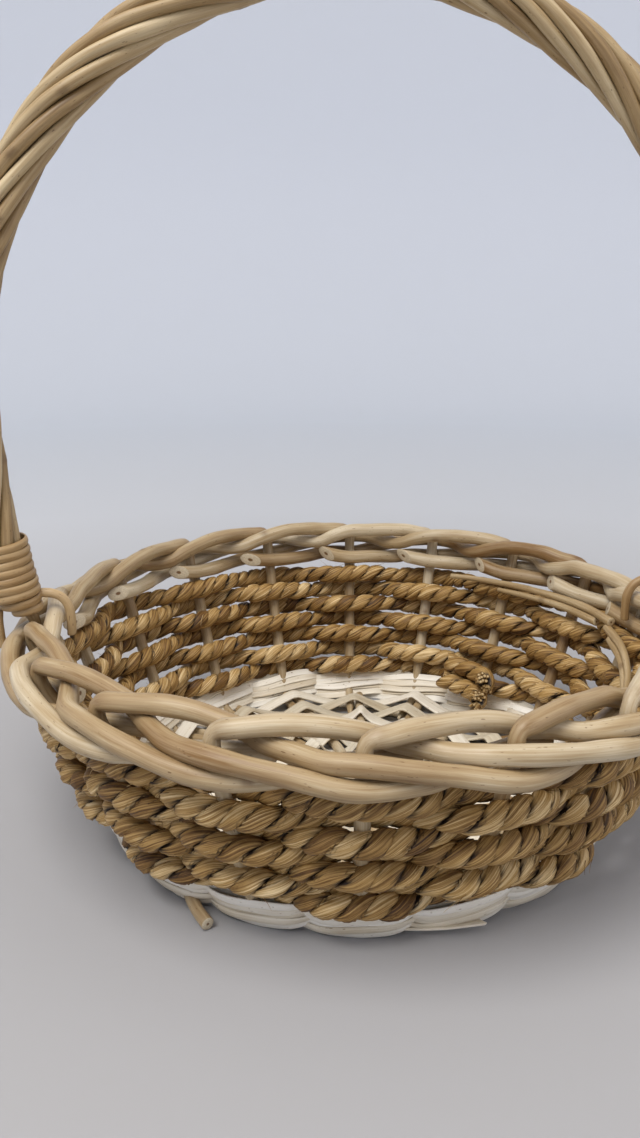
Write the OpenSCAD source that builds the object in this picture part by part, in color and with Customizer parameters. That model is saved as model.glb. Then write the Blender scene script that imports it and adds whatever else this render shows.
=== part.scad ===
// Round willow and seagrass basket with a fixed bow handle.
// A flat base of sticks and split strips, upright willow stakes, seven courses of
// seagrass rope and a border made of the stakes' own ends. The bow stands in the XZ
// plane. Origin at the middle of the underside, +Z up, millimetres.

/* [Basket] */
// Radius of the stake line where the wall leaves the base
foot_radius = 111; // [109:1:112]
// Radius of the ring that the border is laid round
rim_radius = 140.5; // [139:0.5:142]
// Height of the border's underside
wall_top = 73.4; // [73:0.1:76]
// How fast the wall spreads as it leaves the base
wall_flare = 0.5; // [0.485:0.005:0.51]
// How much the wall straightens up as it rises
wall_curve = 0.0017; // [0.0016:0.0001:0.0019]

/* [Stakes and border] */
// Number of upright stakes, an even number
stake_count = 18; // [18:2:18]
// Radius of a stake
stake_r = 2.8; // [2.4:0.1:2.8]
// Radius of the same rod in the border
border_r = 3.2; // [2.6:0.1:3.2]
// Turn of the stakes about the axis, measured from the bow's plane
stake_turn = 3.4; // [3:0.1:4]

/* [Rope] */
// Number of rope courses
rope_courses = 7; // [5:1:7]
// Radius of the rope
rope_r = 3.75; // [3:0.05:3.75]
// Height of the lowest course
rope_z0 = 22.4; // [22.3:0.1:22.5]
// Rise from one course to the next
rope_pitch = 7.6; // [7.55:0.05:7.65]

/* [Base] */
// Radius of a base stick
stick_r = 2.5; // [2:0.1:2.5]
// Number of split-strip courses in the base
strip_courses = 8; // [4:1:8]
// Width of a base strip
strip_w = 8.2; // [6:0.1:8.2]
// Thickness of a base strip
strip_t = 1.2; // [0.8:0.1:1.2]

/* [Handle] */
// Half width of the bow, at the middle of its thickness
bow_radius = 158; // [150:1:166]
// Height of the centre of the bow's half circle
bow_centre_z = 190; // [180:1:200]
// Radius of the core rod
core_r = 4.2; // [3.5:0.1:4.2]
// Number of roping rods round the core
roping_rods = 8; // [8:1:8]
// Radius of a roping rod
roping_r = 2.55; // [2:0.05:2.55]
// Length of the bow that one turn of the roping takes
roping_lead = 185; // [150:5:220]
// Wraps in each foot binding
wraps = 9; // [6:1:9]

/* [Hidden] */
gap = 0.2;                        // clearance between pieces that touch
step_angle = 360 / stake_count;
stick_z = strip_t + stick_r + 0.1; // centre height of the base sticks
stick_side = stake_r + stick_r + 0.3;  // a stick lies this far beside its stake
wall_foot_z = 9.5;
rope_swing = stake_r + rope_r + 2 * gap;
edge_r = foot_radius - 1.7;       // radius and height of the lower row of edge strands
edge_z = 5.6;
band_z = 14.2;                    // height of the upper row of edge strands
rod_colour = [0.80, 0.68, 0.50];
rope_colour = [0.58, 0.44, 0.24];
strip_colour = [0.86, 0.81, 0.70];

// Border route of one rod: [stakes passed, offset outward, height over the underside]
BORDER_ROUTE = [
    [0, -0.7, 5.2], [0, 0.8, 9], [0, 1, 12.5], [0.02, 0.8, 15.2], [0.07, 0.2, 16.6],
    [0.15, -0.8, 17], [0.3, -2.7, 17.1], [0.5, -5.1, 16.9], [0.8, -7.5, 15.8], [1, -7.9, 14.6],
    [1.2, -7.5, 12.6], [1.35, -5.8, 10.9], [1.55, -0.9, 10.2], [1.75, 4.9, 10.8],
    [2, 7.7, 10.7], [2.5, 9, 7.9], [3, 8.3, 3.9], [3.25, 6.2, 3.4], [3.5, 0.5, 3.4],
    [3.75, -6.2, 4.2], [4, -8.7, 4.8], [4.3, -10.2, 6.2]];
// Foot of the core rod: [distance from the axis, height, radius], from the tip up
CORE_FOOT = [[wall_radius(43), 43, 1.5], [wall_radius(55.5), 55.5, 2.3],
             [wall_radius(68), 68, 2], [wall_radius(72.8) + 0.9, 72.8, 1.9],
             [139.1, 76.4, 1.9], [140.4, 81, 2.2], [140.4, 86, 2.3], [141.8, 91.5, 2.6],
             [144.5, 96, 3.3]];
CORE_TOP_OF_FOOT = 102;           // height at which the foot becomes the bow's leg
LEG_RADIUS = 450;                 // the legs below the half circle curve in gently
// Foot binding: [height, middle of the wraps from the axis, radius of the wraps]
BINDING = [[94.5, 143.7, 5.8], [98, 146.1, 8.3], [101.5, 148.8, 10.4], [104.5, 149.8, 10.9],
           [115, 151.7, 10.9], [126, 153.4, 10.9]];
// Route of the inner and outer lashing legs: [distance from the axis, height]
LASH_OUTSIDE = [[155.4, 95.5], [155.8, 91], [155.6, 85], [154.9, 79]];
LASH_INSIDE = [[136.4, 101], [133.5, 101], [129.5, 99.2], [126.6, 94.5], [126, 88], [126.2, 82]];

// Thin ends of the roping, laid along the inside of the wall from one foot. Each is
// [angle from the bow, distance outside the stake line, height].
ROPING_TAILS = [
    [[3, -13.3, 77.5], [14, -13, 77.3], [26, -12.6, 76.4], [38, -12.2, 75.6], [50, -12, 75],
     [56, -12, 74.6]],
    [[9, -12.9, 73.6], [20, -12.9, 73.2], [31, -12.9, 72.6], [42, -12.9, 72]],
    [[4, -13, 74], [-5, -13, 71.5], [-14, -13, 67], [-24, -13, 60]],
    [[1, -13, 70.4], [-8, -13, 66.6], [-17, -13, 60.5], [-25, -13, 53]]];

// ---- Sweeping a section along a route ----

function unit(v) = v / norm(v);
function polar(angle, r, z) = [r * cos(angle), r * sin(angle), z];
// Radius of the stake line at a height
function wall_radius(z) =
    let (rise = z - wall_foot_z) foot_radius + wall_flare * rise - wall_curve * rise * rise;
function last(list) = list[len(list) - 1];

// Direction of the route at point i
function heading(route, i, closed) =
    let (n = len(route))
    closed ? unit(route[(i + 1) % n] - route[(i + n - 1) % n])
           : unit(route[min(i + 1, n - 1)] - route[max(i - 1, 0)]);
// The part of v that is square to t
function square_to(v, t) = unit(v - (v * t) * t);
// One side direction per point, carried along an open route without twisting
function carried_sides(route, first_side) =
    [for (i = 0, side = square_to(first_side, heading(route, 0, false)); i < len(route);
          i = i + 1,
          side = square_to(side, heading(route, min(i, len(route) - 1), false))) side];
function ring_points(centre, side, along, section) =
    let (other = cross(along, side))
    [for (p = section) centre + p[0] * side + p[1] * other];

// sections holds one outline per point of the route. A level sweep keeps its outlines
// upright, so that its flat stretches are truly flat.
module sweep(route, sides, sections, closed = false, level = false) {
    n = len(route);
    m = len(sections[0]);
    points = [for (i = [0:n - 1])
        let (t = heading(route, i, closed), along = level ? unit([t[0], t[1], 0]) : t)
        each ring_points(route[i], square_to(sides[i], along), along, sections[i])];
    skins = [for (i = [0:(closed ? n : n - 1) - 1]) for (j = [0:m - 1])
        let (a = i * m + j, b = i * m + (j + 1) % m, c = ((i + 1) % n) * m + (j + 1) % m,
             d = ((i + 1) % n) * m + j)
        each [[a, c, b], [a, d, c]]];
    ends = closed ? [] : [for (j = [1:m - 2])
        each [[0, j, j + 1], [(n - 1) * m, (n - 1) * m + j + 1, (n - 1) * m + j]]];
    polyhedron(points = points, faces = concat(skins, ends), convexity = 6);
}

function round_section(r, sides = 6) =
    [for (k = [0:sides - 1]) polar_2d(360 * (k + 0.5) / sides, r)];
function polar_2d(angle, r) = [r * cos(angle), r * sin(angle)];
function flat_section(width, thickness) =
    [for (corner = [[1, -1], [1, 1], [-1, 1], [-1, -1]]) [corner[0] * width, corner[1] * thickness] / 2];

// A round rod along an open route, with one radius per point
module rod(route, radii, first_side, sides = 6)
    sweep(route, carried_sides(route, first_side), [for (r = radii) round_section(r, sides)]);
// A round ring about the axis; each point's side is the way out from the axis
module round_ring(route, r)
    sweep(route, [for (p = route) [p[0], p[1], 0]], [for (p = route) round_section(r)],
          closed = true);

// ---- Stakes, each one rod from the base to the end of the border ----

function stake_angle(i) = stake_turn + (i - 1) * step_angle;
function stake_route(i) = concat(
    [for (p = [[80, stick_z], [edge_r - 3.3, stick_z], [edge_r, edge_z],
               [foot_radius + 0.4, wall_foot_z], [wall_radius(24), 24],
               [wall_radius(40), 40], [wall_radius(55), 55],
               [wall_radius(wall_top - 4), wall_top - 4],
               [wall_radius(wall_top - 1) + 0.2, wall_top - 0.8]])
        polar(stake_angle(i), p[0], p[1])],
    [for (p = BORDER_ROUTE)
        polar(stake_angle(i) + p[0] * step_angle, rim_radius + p[1], wall_top + p[2])]);
function stake_radii() = concat([stake_r * 0.8], [for (i = [1:8]) stake_r],
                                [for (p = BORDER_ROUTE) p[0] < 0.05 ? stake_r : border_r]);
module stake_rod(i)
    color(rod_colour) rod(stake_route(i), stake_radii(), [0, 0, 1]);

// ---- Rope courses, each woven in front of one stake and behind the next ----

SWING = [[-0.2, 0.95], [0, 1], [0.2, 0.95]];  // [stakes from the stake, share of the swing]
module rope_course(k) {
    z = rope_z0 + (k - 1) * rope_pitch;
    route = [for (i = [1:stake_count]) for (s = SWING)
        let (out = (i + k) % 2 == 0 ? -1 : 1)
        polar(stake_angle(i) + s[0] * step_angle,
              wall_radius(z) + out * s[1] * rope_swing, z)];
    color(rope_colour) round_ring(route, rope_r);
}

// The cut end of a rope, lying inside the foot of the wall
module rope_end(start_angle, start_r, z) {
    route = [for (t = [0:0.25:1]) polar(start_angle + 15 * t, start_r + 4 * t * t, z + t)];
    color(rope_colour) rod(route, [for (p = route) rope_r], [0, 0, 1]);
}
module rope_end_lower() rope_end(36.5, 98, 17.6);
module rope_end_upper() rope_end(35.5, 101.5, 28.2);

// ---- Base ----

// A point beside the stake's own line, where the base stick runs
function stick_point(angle, r, z) =
    [r * cos(angle) + stick_side * sin(angle), r * sin(angle) - stick_side * cos(angle), z];
// One stick through the middle, from one edge of the base to the other
module base_stick(start_angle, end_angle, middle, along, lift) {
    reach = 14 * along;
    rise = [0, 0, lift];
    route = [stick_point(start_angle, 104, stick_z), stick_point(start_angle, 32, stick_z),
             middle - reach + rise, middle + reach + rise,
             stick_point(end_angle, 32, stick_z), stick_point(end_angle, 104, stick_z)];
    rod(route, [for (p = route) stick_r], [0, 0, 1]);
}
lower_sticks = 5;
upper_sticks = stake_count / 2 - lower_sticks;
// Five sticks side by side and four more across them, their ends fanned out
module base_sticks() {
    spacing = 2 * stick_r + 0.6;
    over = 2 * stick_r + gap;
    color(rod_colour) {
        for (j = [0:lower_sticks - 1])
            let (fan = j - (lower_sticks - 1) / 2)
            base_stick(stake_turn + 180 - fan * step_angle, stake_turn + fan * step_angle,
                       [0, fan * spacing, stick_z], [1, 0, 0], 0);
        for (j = [0:upper_sticks - 1])
            let (fan = j - (upper_sticks - 1) / 2)
            base_stick(stake_turn - 90 + fan * step_angle, stake_turn + 90 - fan * step_angle,
                       [fan * spacing, 0, stick_z], [0, 1, 0], over);
    }
}
module strip_ring(route, width, thickness)
    sweep(route, [for (p = route) [p[0], p[1], 0]],
          [for (p = route) flat_section(width, thickness)], closed = true, level = true);

// A split strip woven over one stick and under the next. The outer courses pass over
// the stake's foot together with its stick.
module base_strip(k) {
    r = 36 + (k - 1) * 9.05;
    lift = stick_r + strip_t / 2 + 0.1;
    near_side = -stick_side - stick_r - 0.3;
    far_side = r > 74 ? stake_r + 0.3 : stick_r - stick_side + 0.3;
    route = [for (i = [1:stake_count]) for (side = [near_side, far_side])
        let (up = (i + k) % 2 == 0 ? 1 : -1, spot = stake_angle(i) + side / r * 180 / PI)
        polar(spot, r, stick_z + up * lift)];
    color(strip_colour) strip_ring(route, strip_w, strip_t);
}

// One of a pair of strands, twined round the stakes at a radius and height. The pair
// leans with the stakes, by lean degrees from upright.
module twined_strand(phase, r, z, lean) {
    strand_r = 1.7;
    swing = 4.75;
    twist = 1.95;
    route = [for (i = [0:3 * stake_count - 1])
        let (turn = i * 60 + phase, across = swing * cos(turn), up = twist * sin(turn))
        polar(stake_turn + i * step_angle / 3,
              r + across * cos(lean) + up * sin(lean), z + up * cos(lean) - across * sin(lean))];
    color(strip_colour) round_ring(route, strand_r);
}
module base_edge(phase) twined_strand(phase, edge_r, edge_z, 45);
module base_band(phase) twined_strand(phase, wall_radius(band_z), band_z, 25);
module base_edge_inner() base_edge(180);
module base_edge_outer() base_edge(0);
module base_band_inner() base_band(180);
module base_band_outer() base_band(0);

// ---- Handle ----

leg_drop = bow_centre_z - CORE_TOP_OF_FOOT;
leg_angle = asin(leg_drop / LEG_RADIUS);
half_length = bow_radius * 90 * PI / 180 + LEG_RADIUS * leg_angle * PI / 180;
// The bow's middle line at a distance from the apex, and the way out from it. Past
// the half circle it follows the gently curved leg.
function bow_point(s) =
    let (side = s < 0 ? -1 : 1, d = abs(s), quarter = bow_radius * PI / 2,
         a = d < quarter ? 90 - d / bow_radius * 180 / PI
                         : -(d - quarter) / LEG_RADIUS * 180 / PI,
         r = d < quarter ? bow_radius : LEG_RADIUS,
         centre_x = d < quarter ? 0 : bow_radius - LEG_RADIUS)
    [side * (centre_x + r * cos(a)), 0, bow_centre_z + r * sin(a)];
function bow_outward(s) =
    let (side = s < 0 ? -1 : 1, d = abs(s), quarter = bow_radius * PI / 2,
         a = d < quarter ? 90 - d / bow_radius * 180 / PI
                         : -(d - quarter) / LEG_RADIUS * 180 / PI)
    [side * cos(a), 0, sin(a)];

core_steps = 44;
module handle_core() {
    bow = [for (i = [0:core_steps]) bow_point(-half_length + i * 2 * half_length / core_steps)];
    left = [for (p = CORE_FOOT) [-p[0], 0, p[1]]];
    right = [for (i = [len(CORE_FOOT) - 1:-1:0]) [CORE_FOOT[i][0], 0, CORE_FOOT[i][1]]];
    foot_r = [for (p = CORE_FOOT) p[2]];
    foot_r_down = [for (i = [len(CORE_FOOT) - 1:-1:0]) CORE_FOOT[i][2]];
    color(rod_colour)
        rod(concat(left, bow, right), concat(foot_r, [for (p = bow) core_r], foot_r_down),
            [0, 1, 0], 8);
}

// One rod of the roping, wound round the core from foot to foot
roping_steps = 46;
module roping_rod(k) {
    start = 360 * k / roping_rods;
    orbit = core_r + roping_r + 0.25;
    reach = half_length - 3.5;
    route = [for (i = [0:roping_steps])
        let (s = -reach + i * 2 * reach / roping_steps, turn = start - (s + reach) / roping_lead * 360)
        bow_point(s) + orbit * (cos(turn) * bow_outward(s) + sin(turn) * [0, 1, 0])];
    color(rod_colour) rod(route, [for (p = route) roping_r], [0, 1, 0]);
}

// Four rod ends that spread along the inside of the wall from the right foot
module roping_tails() {
    tail_r = 1.6;
    color(rod_colour)
        for (tail = ROPING_TAILS)
            rod([for (p = tail) polar(p[0], wall_radius(p[2]) + p[1], p[2])],
                [for (p = tail) tail_r], [0, 0, 1]);
}

// A flat skein wound round the foot of the bow
function binding_middle(z) = [lookup(z, [for (b = BINDING) [b[0], b[1]]]), 0, z];
function binding_radius(z) = lookup(z, [for (b = BINDING) [b[0], b[2]]]);
module foot_binding(side) {
    corners = 12;
    count = wraps * corners;
    low = BINDING[0][0];
    wrap_pitch = (last(BINDING)[0] - low) / wraps;
    heights = [for (i = [0:count]) low + i * wrap_pitch / corners];
    sides = [for (i = [0:count]) [cos(i * 360 / corners), sin(i * 360 / corners), 0]];
    route = [for (i = [0:count]) binding_middle(heights[i]) + binding_radius(heights[i]) * sides[i]];
    color(rod_colour) rotate([0, 0, side > 0 ? 0 : 180])
        sweep(route, sides, [for (p = route) flat_section(1.3, wrap_pitch - 0.35)]);
}
module foot_binding_left() foot_binding(-1);
module foot_binding_right() foot_binding(1);

// Two ends of the lashing, from under the binding down over the border
module lashing(side) {
    lash_r = 1.5;
    color(rod_colour) rotate([0, 0, side > 0 ? 0 : 180]) {
        rod([for (p = LASH_OUTSIDE) polar(1.2, p[0], p[1])], [for (p = LASH_OUTSIDE) lash_r], [0, 1, 0]);
        rod([for (p = LASH_INSIDE) polar(-1.2, p[0], p[1])], [for (p = LASH_INSIDE) lash_r], [0, 1, 0]);
    }
}
module lashing_left() lashing(-1);
module lashing_right() lashing(1);

for (i = [1:stake_count])
    stake_rod(i);
for (k = [1:rope_courses])
    rope_course(k);
rope_end_lower();
rope_end_upper();
base_sticks();
base_edge_inner();
base_edge_outer();
base_band_inner();
base_band_outer();
for (k = [1:strip_courses])
    base_strip(k);
handle_core();
for (k = [1:roping_rods])
    roping_rod(k);
roping_tails();
foot_binding_left();
foot_binding_right();
lashing_left();
lashing_right();
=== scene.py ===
import math

import bpy
import numpy as np
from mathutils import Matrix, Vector


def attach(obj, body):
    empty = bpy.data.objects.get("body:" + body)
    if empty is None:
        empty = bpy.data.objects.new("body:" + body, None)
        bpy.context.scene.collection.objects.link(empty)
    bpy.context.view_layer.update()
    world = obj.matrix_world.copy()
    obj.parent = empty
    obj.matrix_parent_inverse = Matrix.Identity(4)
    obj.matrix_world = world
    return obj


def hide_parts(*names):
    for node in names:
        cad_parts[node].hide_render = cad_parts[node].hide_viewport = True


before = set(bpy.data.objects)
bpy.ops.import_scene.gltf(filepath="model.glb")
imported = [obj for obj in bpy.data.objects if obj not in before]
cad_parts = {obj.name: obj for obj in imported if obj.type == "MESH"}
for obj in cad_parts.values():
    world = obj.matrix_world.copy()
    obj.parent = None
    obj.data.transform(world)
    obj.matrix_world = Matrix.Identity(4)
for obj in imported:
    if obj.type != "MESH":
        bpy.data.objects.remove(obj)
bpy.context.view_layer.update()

# The basket's sizes and routes are in millimetres in the frame of the CAD, and become metres
# when a mesh is made. The stage, the lights and the camera are in metres. Every random
# choice comes from this one seeded source.
MM = 0.001
TAU = 2 * math.pi
chance = np.random.default_rng(20)

# Stakes and the line round the wall that they stand on
STAKES = 18
STEP = 360 / STAKES               # degrees from one stake to the next
STAKE_TURN = 3.4                  # the first stake's angle from the bow
STAKE_R = 3.0
FOOT_RADIUS = 111                 # of the stakes' line at WALL_FOOT
RIM_RADIUS = 140.5                # of the stakes' line in the border
WALL_FOOT = 9.5
WALL_TOP = 73.4
WALL_FLARE = 0.5                  # the line's radius grows with the height over WALL_FOOT,
WALL_CURVE = 0.0017               # less this times that height squared
BORDER_R = 3.75                   # of a stake's rod in the border

# Base
STICK_R = 2.5
STICK_Z = 3.8                     # height of the middle of a stick and of a stake's foot
STICK_SIDE = 5.6                  # a stick lies this far beside its stake
FOOT_START = 78                   # the stakes' feet begin this far from the middle
EDGE_R = FOOT_RADIUS - 1.7        # where the stakes turn up
EDGE_Z = 5.6
BAND_Z = 11                       # height of the upper row of twined strips

# Rope courses
ROPE_COURSES = 7
ROPE_Z = 19.2                     # height of the lowest
ROPE_PITCH = 8.3                  # rise from one to the next
ROPE_SWING = 5.5                  # how far one swings out and in past the stakes
ROPE_SHIFT_NEAR = 0.8             # at -Y its outer bends lie this much higher, inner ones lower
ROPE_SHIFT_FAR = 1.5              # at +Y its outer bends lie this much lower, inner ones higher
ROPE_LAY = 16.8                   # length of one turn of its two strands

# Bow: half a circle on two legs of a wider one, which lean in as they go down
BOW_RADIUS = 158
BOW_Z = 190                       # height of the half circle's centre
LEG_RADIUS = 450
LEG_DROP = 88                     # how far the legs go down below it
CORE_R = 4.2
ROPING_RODS = 8
ROPING_R = 2.55
ROPING_ORBIT = 7.0                # from the core's middle line to a roping rod's
ROPING_LEAD = 185                 # length of one turn of the roping


# ---- Paths ----

def unit(v):
    return v / np.linalg.norm(v, axis=-1, keepdims=True)


def square_to(v, along):
    """The part of v at right angles to along, as a unit vector."""
    return unit(v - along * (v * along).sum(-1, keepdims=True))


def polar(degrees, r, z):
    """A point at this angle and radius round the basket's axis."""
    a = math.radians(degrees)
    return [r * math.cos(a), r * math.sin(a), z]


def wall_radius(z):
    """How far the stakes' line is from the axis at a height."""
    rise = z - WALL_FOOT
    return FOOT_RADIUS + WALL_FLARE * rise - WALL_CURVE * rise * rise


def stake_angle(i):
    return STAKE_TURN + (i - 1) * STEP


def lengths(path):
    """The distance along the path of each of its points."""
    return np.concatenate([[0.0], np.cumsum(np.linalg.norm(np.diff(path[:, :3], axis=0), axis=1))])


def smooth(route, spacing, closed=False):
    """A smooth curve through the route, evenly sampled. Its first three columns are a place,
    and any others, such as a radius, are carried along."""
    route = np.asarray(route, float)
    wrap = 4                      # a closed route goes on for this many points past its ends
    if closed:
        route = np.vstack([route[-wrap:], route, route[:wrap + 1]])
    t = lengths(route)
    slopes = np.gradient(route, t, axis=0)
    first, last = (t[wrap], t[-wrap - 1]) if closed else (t[0], t[-1])
    count = int(round((last - first) / spacing)) + 1
    s = np.linspace(first, last, count, endpoint=not closed)
    k = np.clip(np.searchsorted(t, s, side="right") - 1, 0, len(t) - 2)
    h = (t[k + 1] - t[k])[:, None]
    u = ((s - t[k]) / h[:, 0])[:, None]
    return ((1 + 2 * u) * (1 - u) ** 2 * route[k] + u * (1 - u) ** 2 * h * slopes[k]
            + u * u * (3 - 2 * u) * route[k + 1] + u * u * (u - 1) * h * slopes[k + 1])


def heading(path, closed=False):
    """The direction of the path at each of its points."""
    if closed:
        return unit(np.roll(path, -1, axis=0) - np.roll(path, 1, axis=0))
    return unit(np.gradient(path, axis=0))


def carried(path, first):
    """One side direction per point, carried along the path without twisting."""
    sides = np.empty_like(path)
    side = np.asarray(first, float)
    for i, along in enumerate(heading(path)):
        side = square_to(side, along)
        sides[i] = side
    return sides


WAVE_PITCHES = (1, 1.7, 2.9)
WAVE_PEAK = 1.3                   # about what waves of these pitches reach together


def swing(count, waves, size):
    """A smooth random wave over count rings that ends as it begins."""
    t = np.arange(count) / count * TAU
    wave = sum(np.sin(round(waves * k) * t + chance.uniform(0, TAU)) / k for k in WAVE_PITCHES)
    return size * wave / WAVE_PEAK


def over_under(cosine, roundness):
    """A wave from -1 to 1, which changes sides the more quickly the less its roundness."""
    return cosine * math.sqrt(1 + roundness ** 2) / np.sqrt(cosine ** 2 + roundness ** 2)


# ---- Meshes ----

COLUMNS = ("tone", "depth", "cut", "mark")
# A cut end's rings: share of the section, push outward, and how near its pith it is
CUT_RINGS = ((0.93, 0.22, 0.12), (0.42, 0.3, 0.45), (0.14, 0.3, 1.0))


class Form:
    """Gathers tubes and makes one mesh of them. Each point carries its place in the grain
    (across, across, along) and what the materials read: tone, depth (the mask of painted shade
    on the rope), cut and mark (knots, and painted shade at creases)."""

    def __init__(self):
        self.points = []
        self.faces = []
        self.count = 0

    def add(self, table, closed):
        """Adds a tube's points, ring by ring, and its faces. table holds what each point of
        each ring carries: its place, its grain and its COLUMNS."""
        rings, around = table.shape[:2]
        self.points.append(table.reshape(-1, table.shape[2]))
        a = np.arange(rings if closed else rings - 1)[:, None]
        b = np.arange(around)[None, :]
        c, d = (a + 1) % rings, (b + 1) % around
        quads = np.stack([a * around + b, a * around + d, c * around + d, c * around + b], -1)
        self.faces.append(quads.reshape(-1, 4) + self.count)
        if not closed:
            low = np.arange(around)[::-1][None, :]
            high = np.arange(around)[None, :] + (rings - 1) * around
            self.faces.append(low + self.count)
            self.faces.append(high + self.count)
        self.count += rings * around

    def make(self, name, material, slot, *nodes):
        """The mesh as a piece that stands for the CAD nodes and rides with them."""
        table = np.vstack(self.points)
        mesh = bpy.data.meshes.new(name)
        mesh.vertices.add(len(table))
        mesh.vertices.foreach_set("co", (table[:, :3] * MM).astype(np.float32).ravel())
        corners = np.concatenate([f.ravel() for f in self.faces])
        sizes = np.concatenate([np.full(len(f), f.shape[1]) for f in self.faces])
        mesh.loops.add(len(corners))
        mesh.loops.foreach_set("vertex_index", corners.astype(np.int32))
        mesh.polygons.add(len(sizes))
        starts = np.concatenate([[0], np.cumsum(sizes)[:-1]])
        mesh.polygons.foreach_set("loop_start", starts.astype(np.int32))
        mesh.polygons.foreach_set("use_smooth", np.ones(len(sizes), bool))
        mesh.update(calc_edges=True)
        grain = mesh.attributes.new("grain", "FLOAT_VECTOR", "POINT")
        grain.data.foreach_set("vector", (table[:, 3:6] * MM).astype(np.float32).ravel())
        for k, column in enumerate(COLUMNS):
            values = mesh.attributes.new(column, "FLOAT", "POINT")
            values.data.foreach_set("value", table[:, 6 + k].astype(np.float32))
        mesh.materials.append(material)
        piece = bpy.data.objects.new(name, mesh)
        bpy.context.scene.collection.objects.link(piece)
        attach(piece, "root")
        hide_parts(*nodes)


SLANT_REACH = 6                   # a slanted cut leans the rings over this many radii


def tube(form, path, side, section, closed=False, tone=0.5, depth=None, mark=None,
         slant=((0, 0, 0), (0, 0, 0)), grain=None):
    """Adds a tube. section (rings, around, 2) is measured along side and across it, and grain
    is the same for the grain where that differs. slant gives, for the start and the end, the
    direction in which the cut runs out furthest, as long as the cut is steep."""
    grain = section if grain is None else grain
    along = heading(path, closed)
    side = square_to(side, along)
    rings, around = section.shape[:2]
    depth = np.ones((rings, around)) if depth is None else depth
    mark = np.zeros((rings, around)) if mark is None else mark
    s = lengths(path)
    cut = np.zeros(rings)
    shift = np.zeros((rings, around))
    if not closed:
        reach = SLANT_REACH * np.abs(section[-1]).max()
        other = np.cross(along, side)
        for lean, away, sign in zip(slant, (s, s[-1] - s), (-1, 1)):
            lean = np.asarray(lean, float)
            far = (section[..., 0] * (side @ lean)[:, None]
                   + section[..., 1] * (other @ lean)[:, None])
            shift += sign * far * np.clip(1 - away / reach, 0, 1)[:, None]
        ends = np.array(CUT_RINGS)
        pick = np.concatenate([[0] * len(ends), np.arange(rings), [rings - 1] * len(ends)])
        share = np.concatenate([ends[::-1, 0], np.ones(rings), ends[:, 0]])[:, None]
        push = np.concatenate([-ends[::-1, 1], np.zeros(rings), ends[:, 1]])[:, None]
        cut = np.concatenate([ends[::-1, 2], cut, ends[:, 2]])
        path, along, side, s = path[pick] + push * along[pick], along[pick], side[pick], s[pick]
        section = section[pick] * share[..., None]
        grain = grain[pick] * share[..., None]
        shift = shift[pick] * share
        depth, mark = depth[pick], mark[pick] * (cut == 0)[:, None]
        rings = len(pick)
    across = np.cross(along, side)
    place = (path[:, None] + section[..., :1] * side[:, None] + section[..., 1:] * across[:, None]
             + shift[..., None] * along[:, None])
    ring = np.ones((rings, around))
    table = np.concatenate(
        [place, grain, (s[:, None] * ring)[..., None],
         np.stack([tone * ring, depth, cut[:, None] * ring, mark], -1)], axis=-1)
    form.add(table, closed)


def around_angles(count):
    return np.arange(count) / count * TAU


KNOT_LONG, KNOT_WIDE, KNOT_TALL = 1.9, 1.7, 0.35
CREASE_LONG = 3.5
CREASE_DEEP = 0.1                 # as a share of the radius
WOBBLE_LONG = 38                  # a rod's thickness rises and falls about once in this length
OVAL, FACETS = 0.035, 0.012       # how oval a rod is, and how five-sided


def rod(form, route, spacing=2.0, around=16, tone=None, knots=2, slant=None, creases=(),
        wobble=0.03):
    """A peeled willow rod along a route of [x, y, z, radius]. It is slightly oval and uneven,
    with a few knots, and is flattened at each crease, a distance along it, where shade is painted."""
    curve = smooth(route, spacing)
    path, radius = curve[:, :3], curve[:, 3:4]
    s = lengths(path)
    count = len(path)
    angle = around_angles(around)
    waves = max(2, s[-1] / WOBBLE_LONG)
    flat = swing(count, waves / 2, 1.2)
    r = radius * (1 + swing(count, waves, wobble)[:, None])
    r = r * (1 + OVAL * np.cos(2 * angle[None, :] + flat[:, None]))
    r = r * (1 + FACETS * np.cos(5 * angle[None, :] + 3 * flat[:, None]))
    mark = np.zeros((count, around))
    for _ in range(knots):
        spot, turn = chance.uniform(0.05, 0.95) * s[-1], chance.uniform(0, TAU)
        gap = (angle - turn + math.pi) % TAU - math.pi
        near = (np.exp(-((s - spot) / KNOT_LONG) ** 2)[:, None]
                * np.exp(-(gap[None, :] * radius / KNOT_WIDE) ** 2))
        r = r + KNOT_TALL * near
        mark = mark + near
    for crease in creases:
        near = np.exp(-((s - crease) / CREASE_LONG) ** 2)[:, None]
        r = r * (1 - CREASE_DEEP * near * np.abs(np.cos(angle))[None, :])
        # Painted shade at the bend: the crease mixes the rod a little toward its stain colour.
        mark = mark + 0.35 * near
    section = r[..., None] * np.stack([np.cos(angle), np.sin(angle)], -1)[None]
    if slant is None:
        slant = chance.normal(0, 0.1, (2, 3))
    tone = chance.uniform(0, 1) if tone is None else tone
    tube(form, path, carried(path, (0, 0, 1)), section, tone=tone, mark=np.clip(mark, 0, 1),
         slant=slant)


# ---- Materials ----

def colour(red, green, blue):
    """A colour given as it looks on a screen, 0 to 255, in the linear values that shaders use."""
    share = [v / 255 for v in (red, green, blue)]
    return [*(v / 12.92 if v < 0.04045 else ((v + 0.055) / 1.055) ** 2.4 for v in share), 1.0]


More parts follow.
